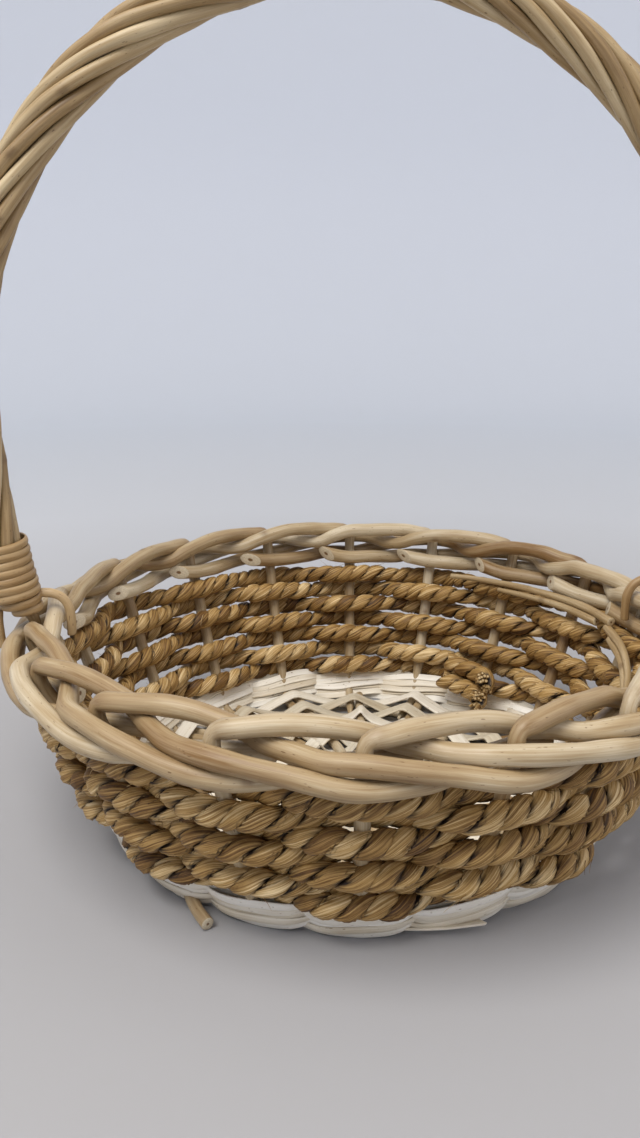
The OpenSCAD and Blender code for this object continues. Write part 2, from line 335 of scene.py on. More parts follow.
class Shader:
    """One material, with short calls for the nodes that it is made of."""

    def __init__(self, name):
        self.material = bpy.data.materials.new(name)
        self.material.use_nodes = True
        self.tree = self.material.node_tree
        self.surface = self.tree.nodes["Principled BSDF"]

    def put(self, socket, value):
        if isinstance(value, bpy.types.NodeSocket):
            self.tree.links.new(value, socket)
        else:
            socket.default_value = value

    def node(self, kind, inputs, out=0, **settings):
        made = self.tree.nodes.new(kind)
        for key, value in settings.items():
            setattr(made, key, value)
        for key, value in inputs.items():
            self.put(made.inputs[key], value)
        return made.outputs[out]

    def attribute(self, name, out="Fac"):
        return self.node("ShaderNodeAttribute", {}, out, attribute_name=name)

    def math(self, operation, a, b, clamp=False):
        return self.node("ShaderNodeMath", {0: a, 1: b}, operation=operation, use_clamp=clamp)

    def weigh(self, *parts):
        """A value round 0.5 from (value, weight) pairs, whose values are round 0.5 as well."""
        total = None
        for value, weight in parts:
            part = self.math("MULTIPLY", self.math("SUBTRACT", value, 0.5), weight)
            total = part if total is None else self.math("ADD", total, part)
        return self.math("ADD", total, 0.5, clamp=True)

    def noise(self, stretch, seed, detail=3.0):
        """Noise with this many features per metre across, across and along the grain."""
        scaled = self.node("ShaderNodeVectorMath",
                           {0: self.attribute("grain", "Vector"), 1: stretch}, operation="MULTIPLY")
        return self.node("ShaderNodeTexNoise",
                         {"Vector": scaled, "W": seed, "Scale": 1.0, "Detail": detail,
                          "Roughness": 0.55}, noise_dimensions="4D")

    def ramp(self, value, *stops):
        """stops are (place, colour); a plain number as colour gives a grey."""
        made = self.tree.nodes.new("ShaderNodeValToRGB")
        points = made.color_ramp.elements
        while len(points) < len(stops):
            points.new(0.5)
        for point, (place, shade) in zip(points, stops):
            point.position = place
            point.color = shade if isinstance(shade, list) else [shade, shade, shade, 1.0]
        self.put(made.inputs["Fac"], value)
        return made.outputs["Color"]

    def mix(self, share, a, b):
        """Colour a, or b where share is 1. The numbers are the node's colour sockets."""
        return self.node("ShaderNodeMix", {0: share, 6: a, 7: b}, 2, data_type="RGBA")

    def finish(self, base, rough, height, depth_mm, specular=0.5):
        """Joins the surface's colour, roughness and bump, and gives the material."""
        self.put(self.surface.inputs["Base Color"], base)
        self.put(self.surface.inputs["Roughness"], rough)
        self.surface.inputs["Specular IOR Level"].default_value = specular
        bump = self.node("ShaderNodeBump",
                         {"Strength": 1.0, "Distance": depth_mm * MM, "Height": height})
        self.put(self.surface.inputs["Normal"], bump)
        return self.material


def willow(name, dark, middle, light, stain_and_shade, pith, gloss=0.42, contrast=1.0):
    """Peeled willow: long streaks and finer hair lines, clouds of stains, flecks and knots, and
    painted shade at creases.
    """
    m = Shader(name)
    tone = m.attribute("tone")
    seed = m.math("MULTIPLY", tone, 61.0)
    streak = m.noise((850, 850, 22), seed)
    hair = m.noise((3000, 3000, 75), seed, detail=2.0)
    cloud = m.noise((110, 110, 26), seed, detail=2.0)
    fleck = m.noise((1500, 1500, 420), seed, detail=1.0)
    shade = m.weigh((streak, 0.75 * contrast), (hair, 0.35 * contrast), (cloud, 0.9 * contrast),
                    (tone, 0.6))
    base = m.ramp(shade, (0.0, dark), (0.48, middle), (1.0, light))
    base = m.mix(m.ramp(fleck, (0.69, 0.0), (0.76, 0.75)), base, stain_and_shade)
    # mark holds the knots' own darker colour and, at creases, painted shade.
    base = m.mix(m.math("MULTIPLY", m.attribute("mark"), 0.75, clamp=True), base, stain_and_shade)
    cut = m.attribute("cut")
    ray = m.noise((2600, 2600, 10), seed, detail=2.0)
    end = m.mix(m.ramp(ray, (0.4, 0.0), (0.8, 0.5)), light, stain_and_shade)
    end = m.mix(m.ramp(cut, (0.7, 0.0), (0.95, 1.0)), end, pith)
    base = m.mix(m.ramp(cut, (0.03, 0.0), (0.1, 1.0)), base, end)
    rough = m.ramp(streak, (0.3, gloss - 0.05), (0.75, gloss + 0.16))
    height = m.math("ADD", m.math("MULTIPLY", hair, 0.6), m.math("MULTIPLY", streak, 0.9))
    return m.finish(base, rough, height, 0.12)


def grass(name):
    """Twisted seagrass: fine fibres along each strand, with painted shade between the strands."""
    m = Shader(name)
    tone = m.attribute("tone")
    seed = m.math("MULTIPLY", tone, 83.0)
    fibre = m.noise((1900, 1900, 30), seed)
    hair = m.noise((5200, 5200, 110), seed, detail=2.0)
    patch = m.noise((170, 170, 60), seed, detail=2.0)
    shade = m.weigh((fibre, 1.45), (hair, 0.8), (patch, 0.9), (tone, 0.35))
    base = m.ramp(shade, (0.0, colour(54, 29, 6)), (0.3, colour(112, 78, 33)),
                  (0.62, colour(176, 140, 82)), (1.0, colour(240, 214, 166)))
    # Painted shade: a near-black colour mixed in where depth is low, between the strands and their
    # ridges.
    crevice_shade = m.ramp(m.attribute("depth"), (0.1, 1.0), (0.76, 0.0))
    base = m.mix(crevice_shade, base, colour(30, 14, 2))
    base = m.mix(m.ramp(m.attribute("cut"), (0.05, 0.0), (0.3, 1.0)), base, colour(206, 180, 136))
    rough = m.ramp(fibre, (0.3, 0.5), (0.7, 0.68))
    height = m.math("ADD", m.math("MULTIPLY", hair, 0.5), fibre)
    return m.finish(base, rough, height, 0.28, specular=0.4)


peeled = willow("peeled_willow",
                dark=colour(126, 94, 54), middle=colour(169, 146, 110), light=colour(208, 194, 167),
                stain_and_shade=colour(100, 68, 34), pith=colour(112, 80, 46), contrast=1.25)
handle_willow = willow("handle_willow",
                       dark=colour(106, 78, 42), middle=colour(158, 132, 92),
                       light=colour(198, 178, 142), stain_and_shade=colour(88, 60, 30),
                       pith=colour(100, 70, 38), contrast=1.15)
split = willow("split_willow",
               dark=colour(166, 146, 112), middle=colour(210, 200, 179), light=colour(240, 233, 220),
               stain_and_shade=colour(146, 114, 74), pith=colour(150, 118, 78), gloss=0.5, contrast=0.9)
# A brighter copy of split_willow, as painted light for the twined strips round the foot of the wall,
# which lie in shade.
lit_band_willow = willow("lit_band_willow",
                     dark=colour(196, 178, 146), middle=colour(236, 228, 212),
                     light=colour(250, 246, 238), stain_and_shade=colour(150, 120, 82),
                     pith=colour(150, 118, 78), gloss=0.45, contrast=0.9)
skein = willow("skein",
               dark=colour(118, 86, 48), middle=colour(159, 129, 87), light=colour(194, 167, 126),
               stain_and_shade=colour(106, 74, 40), pith=colour(120, 84, 48), gloss=0.4, contrast=1.1)
seagrass = grass("seagrass")


# ---- Stakes and border ----

# One rod's way through the border: stakes passed, offset outward, height over the wall
BORDER_ROUTE = (
    (0, -0.7, 5.2), (0, 0.8, 9), (0, 1, 12), (0.02, 0.8, 14), (0.07, 0.2, 15.2),
    (0.15, -0.8, 15.9), (0.3, -2.7, 16.8), (0.5, -5.1, 17.6), (0.8, -7.7, 17.4), (1, -8.2, 16.3),
    (1.2, -7.7, 13.4), (1.35, -5.8, 11), (1.55, -0.9, 10.2), (1.75, 4.9, 10.8),
    (2, 7.7, 10.7), (2.5, 9, 7.9), (3, 8.3, 3.9), (3.25, 6.2, 3.4), (3.5, 0.5, 3.4),
    (3.75, -6.2, 4.2), (4, -8.7, 4.8), (4.3, -10.2, 6.2))
# How much higher the border stands: its low rods and its bends, on the -Y and the +Y side
LIFT_NEAR = (2.8, 3.6)
LIFT_FAR = (1.9, 5.6)
LOW_UP, BEND_UP = 5, 12           # heights over the wall that count as low and as a bend
BEND_TILT = 1.4                   # on the -Y side, how far the way out of a bend is tilted
TILT_HALF, TILT_END = 0.5, 1.3    # stakes passed where that tilt changes sides and ends
# A stake's way from the base up the wall: radius, height
WALL_ROUTE = ((FOOT_START, STICK_Z), (88, STICK_Z), (EDGE_R - 3.3, STICK_Z), (EDGE_R, EDGE_Z),
              (FOOT_RADIUS + 0.4, WALL_FOOT), (wall_radius(24), 24), (wall_radius(40), 40),
              (wall_radius(55), 55), (wall_radius(69.4), 69.4), (wall_radius(72.4) + 0.2, 72.6))
FOOT_SHARES = (0.3, 0.75, 0.75, 0.75, 0.75)      # how thick the stake's first points are
BEND_START = 4                    # the border route's point where the stake turns into it
JITTER_START = 6                  # and the first one that is moved at random
BORDER_JITTER = 0.25


def border_lift(degrees, passed, up):
    """How much higher than BORDER_ROUTE a rod stands at this angle, up over the wall. On the
    -Y side its bend stands higher and its way past the next stake lower."""
    side = math.sin(math.radians(degrees))
    low, high = LIFT_FAR if side > 0 else LIFT_NEAR
    bend = min(1, max(0, up - LOW_UP) / (BEND_UP - LOW_UP))
    lift = abs(side) * (low + (high - low) * bend)
    if side < 0 and 0 < passed < TILT_END:
        lift -= side * BEND_TILT * max(-1, 1 - passed / TILT_HALF)
    return lift


def stake_route(i):
    """The stake's route with its radius, and how far along it the turn into the border is."""
    route = [polar(stake_angle(i), r, z) + [STAKE_R] for r, z in WALL_ROUTE]
    for k, share in enumerate(FOOT_SHARES):
        route[k][3] = share * STAKE_R
    for passed, out, up in BORDER_ROUTE:
        spot = stake_angle(i) + passed * STEP
        z = WALL_TOP + up + border_lift(spot, passed, up)
        upright = passed < 0.05
        route.append(polar(spot, RIM_RADIUS + out, z) + [STAKE_R if upright else BORDER_R])
    turn = lengths(np.array(route))[len(WALL_ROUTE) + BEND_START]
    return np.array(route), turn


def stake(i):
    """A stake with its rod in the border, whose tip is cut at a slant, facing outward."""
    form = Form()
    route, turn = stake_route(i)
    loose = len(BORDER_ROUTE) - JITTER_START
    jitter = np.zeros_like(route)
    jitter[-loose:, :3] = chance.normal(0, BORDER_JITTER, (loose, 3))
    outward = unit(route[-1, :3] * (1, 1, 0)) + (0, 0, chance.uniform(-0.4, 0.4))
    rod(form, route + jitter, spacing=1.6, around=18, knots=4, creases=(turn,),
        slant=((0, 0, 0), outward * chance.uniform(0.9, 1.5)))
    form.make(f"willow_stake_{i}", peeled, "willow_rod", f"stake_rod_{i}")


for i in range(1, STAKES + 1):
    stake(i)


# ---- Rope ----

PLY_R = 2.75                      # a strand's mean radius
PLY_THICK = 2.4                   # half its thickness, out from the rope's middle
PLY_WIDE = 3.45                   # half its width, where it is pressed against the other
PLY_OFFSET = 2.6                  # from the rope's middle to the strand's
PLY_AROUND = 26
ROOT_R = PLY_R - 0.3              # loose hairs and cut stems begin inside the strand
FIBRE_TURNS = 0.85                # turns of the fibres in a strand for one turn of the rope
# Ridges round a strand and their height as a share of its radius
RIDGES = ((2, 0.045), (4, 0.04), (7, 0.05), (9, 0.05), (11, 0.036), (12, 0.03))
ROPE_ROUND = 0.8                  # see over_under
ROPE_WAY = 1.13                   # about how much longer a course is than a plain ring
STEMS = 9                         # cut stems that show at the end of each strand
STEM_AROUND = 9
STEM_RINGS = 4
GOLDEN_TURN = 2.4                 # radians from one stem to the next, which spreads them evenly
# The two cut rope ends, which lie inside the foot of the wall: angle, radius, height
ROPE_ENDS = {"lower": (36, 99, 19), "upper": (35, 102, 29)}
END_SPAN = 15                     # degrees along the wall from the cut to where u is 1
END_TURN = 45                     # how sharply it turns in before the cut
END_TURN_FROM = 0.4               # and the u where that starts
# Lengths in which a rope's lay, its strands' thickness and their ridges change at random
LAY_LONG, FAT_LONG, RIDGE_LONG = 55, 24, 30


def rope(form, path, outward, closed, tone, firm=1.0):
    """Two strands laid together to the left, each with ridged fibres that twist the other
    way. firm scales the thickness along the rope."""
    count = len(path)
    along = heading(path, closed)
    side = square_to(outward, along)
    up = np.cross(along, side)
    total = lengths(path)[-1]
    turns = round(total / ROPE_LAY)
    t = np.arange(count) / count
    loose = swing(count, total / LAY_LONG, 0.3)
    angle = around_angles(PLY_AROUND)
    for ply in range(2):
        turn = -TAU * turns * t + math.pi * ply + loose
        fat = firm * (1 + swing(count, total / FAT_LONG, 0.06))
        around = np.cos(turn)[:, None] * side + np.sin(turn)[:, None] * up
        middle = path + (PLY_OFFSET * fat)[:, None] * around
        twist = TAU * round(FIBRE_TURNS * turns) * t
        r = np.ones((count, PLY_AROUND))
        for ridges, size in RIDGES:
            phase = chance.uniform(0, TAU) + swing(count, total / RIDGE_LONG, 0.8)
            r += size * np.cos(ridges * angle[None, :] - (ridges * twist - phase)[:, None])
        section = (r * fat[:, None])[..., None] * np.stack(
            [PLY_THICK * np.cos(angle), PLY_WIDE * np.sin(angle)], -1)[None]
        # Mask of painted shade: 1 on the strand's outer side and its ridges, 0 between strands and
        # ridges
        depth = np.clip(0.3 + 0.8 * np.cos(angle)[None, :] + 3.2 * (r - 1), 0, 1)
        fibre = angle[None, :] - twist[:, None]
        grain = PLY_R * np.stack([np.cos(fibre), np.sin(fibre)], -1)
        tube(form, middle, around, section, closed=closed, tone=(tone + 0.13 * ply) % 1,
             depth=depth, grain=grain)
        strand_hairs(form, middle, around, count // 40, tone)
        if not closed:
            fibre_ends(form, middle, around, tone)


def fibre_ends(form, middle, around, tone):
    """The cut stems that stand out at the end of a strand, spread a little."""
    angle = around_angles(STEM_AROUND)
    last = middle[-1]
    way = unit(middle[-1] - middle[-4])
    side = square_to(around[-1], way)
    other = np.cross(way, side)
    for k in range(STEMS):
        r, turn = ROOT_R * math.sqrt((k + 0.5) / STEMS), GOLDEN_TURN * k
        root = last + r * (math.cos(turn) * side + math.sin(turn) * other)
        t = np.linspace(-2, chance.uniform(0.8, 3), STEM_RINGS)[:, None]
        drift = chance.normal(0, 0.08, 3)
        path = root + t * (way + 0.25 * (root - last) / PLY_R + drift)
        thick = chance.uniform(0.6, 0.85)
        circle = np.stack([np.cos(angle), np.sin(angle)], -1)
        section = np.full((STEM_RINGS, 1, 1), thick) * circle[None]
        # A depth of 0.6 paints a little shade on the stems.
        tube(form, path, carried(path, side), section, tone=(tone + chance.uniform(0, 0.5)) % 1,
             depth=np.full((STEM_RINGS, STEM_AROUND), 0.6))


def strand_hairs(form, middle, around, count, tone):
    """Short loose fibres that leave the rope at a slant."""
    angle = around_angles(3)
    for _ in range(count):
        k = int(chance.integers(3, len(middle) - 14))
        way = unit(middle[k + 3] - middle[k - 3]) * chance.choice((-1, 1))
        out = around[k]
        sweep = np.cross(way, out) * chance.uniform(-0.8, 0.8)
        length = chance.uniform(4, 9)
        root = middle[k] + out * ROOT_R
        t = np.linspace(0, 1, 6)[:, None]
        path = root + length * (t * way + t ** 1.6 * 0.16 * out * chance.uniform(0.4, 1.5)
                                + t * t * 0.3 * sweep)
        r = (0.15 * (1 - 0.6 * t))[..., None]
        section = r * np.stack([np.cos(angle), np.sin(angle)], -1)[None]
        tube(form, path, carried(path, out), section, tone=(tone + chance.uniform(0, 0.4)) % 1)


def rope_route(k, spacing):
    """A rope course, inside one stake and outside the next, and how far out it is from the
    stakes' line at each point, from -1 to 1."""
    z = ROPE_Z + (k - 1) * ROPE_PITCH
    r = wall_radius(z)
    count = int(round(ROPE_WAY * TAU * r / spacing))
    a = np.arange(count) / count * TAU
    stakes = (a - math.radians(STAKE_TURN)) / math.radians(STEP)
    out = over_under(np.cos(math.pi * stakes) * (1 if k % 2 == 0 else -1), ROPE_ROUND)
    r = r + ROPE_SWING * out + swing(count, 23, 0.25)
    shift = np.where(a < math.pi, ROPE_SHIFT_FAR, ROPE_SHIFT_NEAR) * np.sin(a)
    z = z - shift * out + swing(count, 7, 0.35) + swing(count, 29, 0.25)
    return np.stack([r * np.cos(a), r * np.sin(a), z], -1), out


def rope_course(k):
    """A closed course of rope, pressed thinner where it crosses the stakes' line."""
    form = Form()
    path, out = rope_route(k, 1.1)
    rope(form, path, path * (1, 1, 0), True, chance.uniform(0, 1), firm=0.88 + 0.14 * out ** 2)
    form.make(f"seagrass_rope_{k}", seagrass, "seagrass", f"rope_course_{k}")


def rope_end(name, start, start_r, start_z):
    """A cut rope end, which turns in from the wall just before its cut, where u is 0."""
    form = Form()
    route = []
    for u in np.linspace(1.15, 0, 14):
        turn_in = END_TURN * max(0, END_TURN_FROM - u) ** 2
        route.append(polar(start + END_SPAN * u, start_r + 4 * u * u - turn_in, start_z + u))
    path = smooth(route, 1.0)
    rope(form, path, carried(path, (0, 0, 1)), False, chance.uniform(0, 1))
    form.make(f"seagrass_end_{name}", seagrass, "seagrass", f"rope_end_{name}")


for k in range(1, ROPE_COURSES + 1):
    rope_course(k)
for name, place in ROPE_ENDS.items():
    rope_end(name, *place)


# ---- Base ----

def stick_point(degrees, r, z):
    """A point beside the stake's own line, where a base stick runs."""
    a = math.radians(degrees)
    return [r * math.cos(a) + STICK_SIDE * math.sin(a), r * math.sin(a) - STICK_SIDE * math.cos(a), z]


STICK_STOPS = (104, 70, 32)       # a stick's points, by their distance from the middle
STICK_STEP = 14                   # half the straight stretch where the sticks cross
# One stick was left long and shows under the rope: its angle, and the points of its end
LONG_STICK = STAKE_TURN + 220
LONG_STICK_END = ([-67.6, -100.2, 2.9], [-71.4, -92.5, 3.5], [-74.5, -82, 3.8])


def base_stick(form, start, end, middle, along, lift):
    """A stick that runs in from one side of the base, over or beside its middle, and out."""
    middle = np.array(middle, float)
    step = STICK_STEP * np.array(along, float)
    rise = np.array([0, 0, lift])
    route = [*(stick_point(start, r, STICK_Z) for r in STICK_STOPS),
             middle - step + rise, middle + rise, middle + step + rise,
             *(stick_point(end, r, STICK_Z) for r in STICK_STOPS[::-1])]
    if math.isclose(start, LONG_STICK):
        route[:1] = [*LONG_STICK_END, stick_point(start, 98, STICK_Z)]
    rod(form, [[*p, STICK_R] for p in route], around=14, knots=3, wobble=0.02)


def base_sticks():
    """Five sticks one way and four across them, which fan out to the stakes."""
    form = Form()
    spacing = 2 * STICK_R + 0.6
    for fan in np.arange(5) - 2:
        base_stick(form, STAKE_TURN + 180 - fan * STEP, STAKE_TURN + fan * STEP,
                   (0, fan * spacing, STICK_Z), (1, 0, 0), 0)
    for fan in np.arange(4) - 1.5:
        base_stick(form, STAKE_TURN - 90 + fan * STEP, STAKE_TURN + 90 - fan * STEP,
                   (fan * spacing, 0, STICK_Z), (0, 1, 0), 2 * STICK_R + 0.2)
    form.make("willow_base_sticks", peeled, "willow_rod", "base_sticks")


RIBBON_EDGE = 0.35                # how far a strip's thin edge stands out past its faces


def ribbon_section(count, width, thickness, crown, points=7):
    """Sections of a split strip: width along the side direction, crowned on its outer face."""
    x = np.linspace(-1, 1, points)
    top = np.stack([x * width / 2, thickness / 2 + crown * (1 - x * x)], -1)
    low = np.stack([x[::-1] * width / 2, -thickness / 2 + 0.4 * crown * (1 - x * x)], -1)
    edge = width / 2 + RIBBON_EDGE
    outline = np.vstack([top, [(edge, 0)], low, [(-edge, 0)]])
    return np.repeat(outline[None], count, axis=0)


BASE_STRIPS = 8
STRIP_FIRST, STRIP_PITCH = 36, 9.05   # radius of the first and step to the next
STRIP_WIDE, STRIP_THICK, STRIP_CROWN = 8.6, 1.0, 0.35
STRIP_LOW = 0.6                   # the lowest that a strip's middle lies
# The tent over a stick: share of the way across, share of its height
TENT = ((0, 0), (0.36, 0.8), (0.5, 1), (0.64, 0.8), (1, 0))


def base_strip(k):
    """A split strip woven over one stick and under the next, with a tent over each stick. The
    outer strips cross the stakes' feet as well."""
    r = STRIP_FIRST + (k - 1) * STRIP_PITCH
    lift = STICK_R + 0.7
    near = -STICK_SIDE - STICK_R - 0.3
    far = STAKE_R + 0.3 if r > FOOT_START else STICK_R - STICK_SIDE + 0.3
    route = []
    for i in range(1, STAKES + 1):
        up = 1 if (i + k) % 2 == 0 else -1
        tall = chance.uniform(1.6, 2.8) if up > 0 else 0.0
        for share, rise in TENT:
            spot = stake_angle(i) + math.degrees((near + share * (far - near)) / r)
            route.append(polar(spot, r + chance.normal(0, 0.12), STICK_Z + up * lift + rise * tall))
    path = smooth(route, 1.2, closed=True)
    path[:, 2] = np.maximum(path[:, 2], STRIP_LOW)
    count = len(path)
    section = ribbon_section(count, STRIP_WIDE, STRIP_THICK, STRIP_CROWN)
    crown_up = section * (1, -1)
    tilt = swing(count, 9, 0.05)
    outward = path * (1, 1, 0)
    outward = unit(outward) * np.cos(tilt)[:, None] + np.array([0, 0, 1]) * np.sin(tilt)[:, None]
    form = Form()
    tube(form, path, outward, crown_up, closed=True, tone=chance.uniform(0, 1))
    form.make(f"split_strip_{k}", split, "split_willow", f"base_strip_{k}")


# The rows of twined strips round the foot of the wall: radius, height, how far the row
# leans out, and its strips' places up the row and widths
EDGE_ROW = (EDGE_R + 1.0, EDGE_Z - 1.0, math.radians(30), ((-1.9, 3.6), (1.9, 3.4)))
BAND_ROW = (wall_radius(BAND_Z) + 0.9, BAND_Z, math.radians(24),
            ((-3.4, 3.4), (0.0, 3.3), (3.4, 3.1)))
TWINE_SWING = 2.4                 # how far a strand swings out and in past the stakes
TWINE_RISE = 1.7                  # and up and down between them, round the other strand
TWINE_ROUND = 0.5                 # see over_under
TILE = math.radians(13)           # each strip's lower edge lies over the strip below
RIBBON_THICK, RIBBON_CROWN = 0.7, 0.35
# The end of one strip that sticks out at the front: angle, radius, height
STRIP_TAIL = ((265, 107, 2.8), (272, 109.5, 2.8), (279, 112.5, 3.2), (286.4, 116, 4.2))


def twined_ribbon(form, row, phase, place, width):
    """One flat strip of a twined strand, widest where it passes a stake."""
    row_r, row_z, lean, _ = row
    count = 30 * STAKES
    stakes = np.arange(count) / count * STAKES
    turn = stakes * math.pi + phase
    out = over_under(np.cos(turn), TWINE_ROUND)
    spread = 0.8 + 0.2 * out ** 2
    across = TWINE_SWING * out + 0.06 * place + swing(count, 11, 0.2)
    up = TWINE_RISE * np.sin(turn) + place * spread + swing(count, 13, 0.3)
    r = row_r + across * math.cos(lean) + up * math.sin(lean)
    z = row_z + up * math.cos(lean) - across * math.sin(lean)
    z = np.maximum(z, 0.5 + 0.5 * width * math.cos(lean))
    a = math.radians(STAKE_TURN) + stakes * math.radians(STEP)
    path = np.stack([r * np.cos(a), r * np.sin(a), z], -1)
    own = lean - TILE * out
    wide = np.stack([np.sin(own) * np.cos(a), np.sin(own) * np.sin(a), np.cos(own)], -1)
    section = ribbon_section(count, width, RIBBON_THICK, RIBBON_CROWN)
    section[..., 0] *= spread[:, None]
    tube(form, path, wide, section, closed=True, tone=chance.uniform(0, 1))


def twined_strand(name, row, phase):
    """One of the two strands of flat strips twined round the stakes in a row."""
    form = Form()
    for place, width in row[-1]:
        twined_ribbon(form, row, phase, place, width)
    if name == "edge_outer":
        path = smooth([polar(*point) for point in STRIP_TAIL], 1.5)
        wide = path * (1, 1, 0) + (0, 0, 40)      # out from the wall, and tilted up a little
        tube(form, path, wide, ribbon_section(len(path), 5.0, 0.9, 0.3), tone=0.3,
             slant=((0, 0, 0), (0, 0, 0.9)))
    # The twined strips take the brighter copy of split willow, painted light.
    form.make(f"split_{name}", lit_band_willow, "split_willow", f"base_{name}")


base_sticks()
for k in range(1, BASE_STRIPS + 1):
    base_strip(k)
twined_strand("edge_inner", EDGE_ROW, math.pi)
twined_strand("edge_outer", EDGE_ROW, 0.0)
twined_strand("band_inner", BAND_ROW, math.pi)
twined_strand("band_outer", BAND_ROW, 0.0)


# ---- Handle ----

LEG_ANGLE = math.asin(LEG_DROP / LEG_RADIUS)
QUARTER = BOW_RADIUS * math.pi / 2
HALF_LENGTH = QUARTER + LEG_RADIUS * LEG_ANGLE


def bow(s):
    """The bow's middle line at distances s from its top, and the way out from it."""
    s = np.asarray(s, float)
    side = np.where(s < 0, -1.0, 1.0)
    d = np.abs(s)
    leg = d >= QUARTER
    a = np.where(leg, -(d - QUARTER) / LEG_RADIUS, math.pi / 2 - d / BOW_RADIUS)
    r = np.where(leg, LEG_RADIUS, BOW_RADIUS)
    centre = np.where(leg, BOW_RADIUS - LEG_RADIUS, 0)
    point = np.stack([side * (centre + r * np.cos(a)), 0 * s, BOW_Z + r * np.sin(a)], -1)
    return point, np.stack([side * np.cos(a), 0 * s, np.sin(a)], -1)


# Foot of the core: distance from the axis, height, radius, from the tip up
CORE_FOOT = ((wall_radius(43), 43, 1.5), (wall_radius(55.5), 55.5, 2.3), (wall_radius(68), 68, 2),
             (wall_radius(72.8) + 0.9, 72.8, 1.9), (139.1, 76.4, 1.9), (140.4, 81, 2.2),
             (140.4, 86, 2.3), (141.8, 91.5, 2.6), (144.5, 96, 3.3))


def handle_core():
    """The rod inside the bow, whose thin feet go down beside the weave."""
    form = Form()
    points, _ = bow(np.linspace(-HALF_LENGTH, HALF_LENGTH, 61))
    left = [[-x, 0, z, r] for x, z, r in CORE_FOOT]
    right = [[x, 0, z, r] for x, z, r in CORE_FOOT[::-1]]
    rod(form, [*left, *([*p, CORE_R] for p in points), *right], spacing=3, around=14, tone=0.2)
    form.make("willow_bow_core", handle_willow, "willow_rod", "handle_core")


def roping_rod(k):
    """One rod of the roping, wound round the core from foot to foot."""
    count = 150
    reach = HALF_LENGTH - 3.5     # it ends inside the foot bindings
    s = np.linspace(-reach, reach, count)
    points, outward = bow(s)
    orbit = ROPING_ORBIT + swing(count, 9, 0.1)
    turn = TAU * k / ROPING_RODS - (s + reach) / ROPING_LEAD * TAU + swing(count, 7, 0.03)
    across = np.stack([0 * s, 1 + 0 * s, 0 * s], -1)
    place = points + orbit[:, None] * (np.cos(turn)[:, None] * outward
                                       + np.sin(turn)[:, None] * across)
    r = ROPING_R * (1 + swing(count, 5, 0.05))
    form = Form()
    rod(form, np.column_stack([place, r]), spacing=2.2, around=14, knots=5, wobble=0.02)
    form.make(f"willow_roping_{k}", handle_willow, "willow_rod", f"roping_rod_{k}")


# Foot binding: height, how far the wraps' middle is from the axis, their radius
BINDING = np.array([[94.5, 143.7, 5.8], [98, 146.1, 8.3], [101.5, 148.8, 10.4],
                    [104.5, 149.8, 10.9], [115, 151.7, 10.9], [126, 153.4, 10.9]])
WRAPS = 9
WRAP_POINTS = 40                  # in each wrap
WRAP_GAP = 0.2                    # between one wrap and the next
BINDING_TILT = 0.2                # the wraps lie square to the leaning foot, lower on the outside


def foot_binding(name, side):
    """A skein wound close round the foot of the bow, each wrap crowned."""
    count = WRAPS * WRAP_POINTS
    t = np.linspace(0, 1, count)
    turn = t * WRAPS * TAU
    heights, middles, radii = BINDING.T
    tall = heights[-1] - heights[0]
    z = heights[0] + t * tall
    r = np.interp(z, heights, radii) + swing(count, 11, 0.12)
    x = np.interp(z, heights, middles)
    z = z + swing(count, 13, 0.16)
    out = np.stack([side * np.cos(turn), side * np.sin(turn), 0 * turn], -1)
    z = z - BINDING_TILT * np.cos(turn) * (r - radii[0])
    path = out * r[:, None] + np.stack([side * x, 0 * x, z], -1)
    section = ribbon_section(count, tall / WRAPS - WRAP_GAP, 0.9, 0.55)
    up = np.tile(np.array([0.0, 0.0, 1.0]), (count, 1))
    form = Form()
    tube(form, path, up, section, tone=chance.uniform(0.4, 0.8))
    form.make(f"skein_binding_{name}", skein, "skein", f"foot_binding_{name}")


# Lashing ends, from under the binding down over the border: distance from the axis, height
LASH_OUTSIDE = ((155.4, 95.5), (155.8, 91), (155.6, 85), (154.9, 79))
LASH_INSIDE = ((141, 101.4), (137, 101.3), (133.5, 101), (129.5, 99.2), (126.6, 94.5), (126, 88),
               (126.2, 82))
LASH_R = 2.0
LASH_SIDE = 1.2                   # degrees that the two lie to either side of the bow


def lashing(name, half_turn):
    """The two lashing ends at a foot of the bow, outside and inside the border."""
    form = Form()
    for degrees, route in ((LASH_SIDE, LASH_OUTSIDE), (-LASH_SIDE, LASH_INSIDE)):
        places = [polar(degrees + half_turn, r, z) + [LASH_R] for r, z in route]
        rod(form, places, spacing=1, around=12, knots=0)
    form.make(f"skein_lashing_{name}", skein, "skein", f"lashing_{name}")


# Thin ends of the roping along the inside of the wall: angle, distance outside the stake
# line, height
ROPING_TAILS = (
    ((3, -13.3, 77.5), (14, -13, 77.3), (26, -12.6, 76.4), (38, -12.2, 75.6), (50, -12, 75),
     (56, -12, 74.6)),
    ((9, -12.9, 73.6), (20, -12.9, 73.2), (31, -12.9, 72.6), (42, -12.9, 72)),
    ((4, -13, 74), (-5, -13, 71.5), (-14, -13, 67), (-24, -13, 60)),
    ((1, -13, 70.4), (-8, -13, 66.6), (-17, -13, 60.5), (-25, -13, 53)))


def roping_tails():
    """Thin rod ends that grow thinner away from the bow."""
    form = Form()
    for tail in ROPING_TAILS:
        radii = np.linspace(2.1, 1.3, len(tail))
        route = [polar(a, wall_radius(z) + out, z) + [r] for (a, out, z), r in zip(tail, radii)]
        rod(form, route, knots=1, tone=0.6)
    form.make("willow_roping_tails", handle_willow, "willow_rod", "roping_tails")


handle_core()
for k in range(1, ROPING_RODS + 1):
    roping_rod(k)
foot_binding("left", -1)
foot_binding("right", 1)
lashing("left", 180)
lashing("right", 0)
roping_tails()


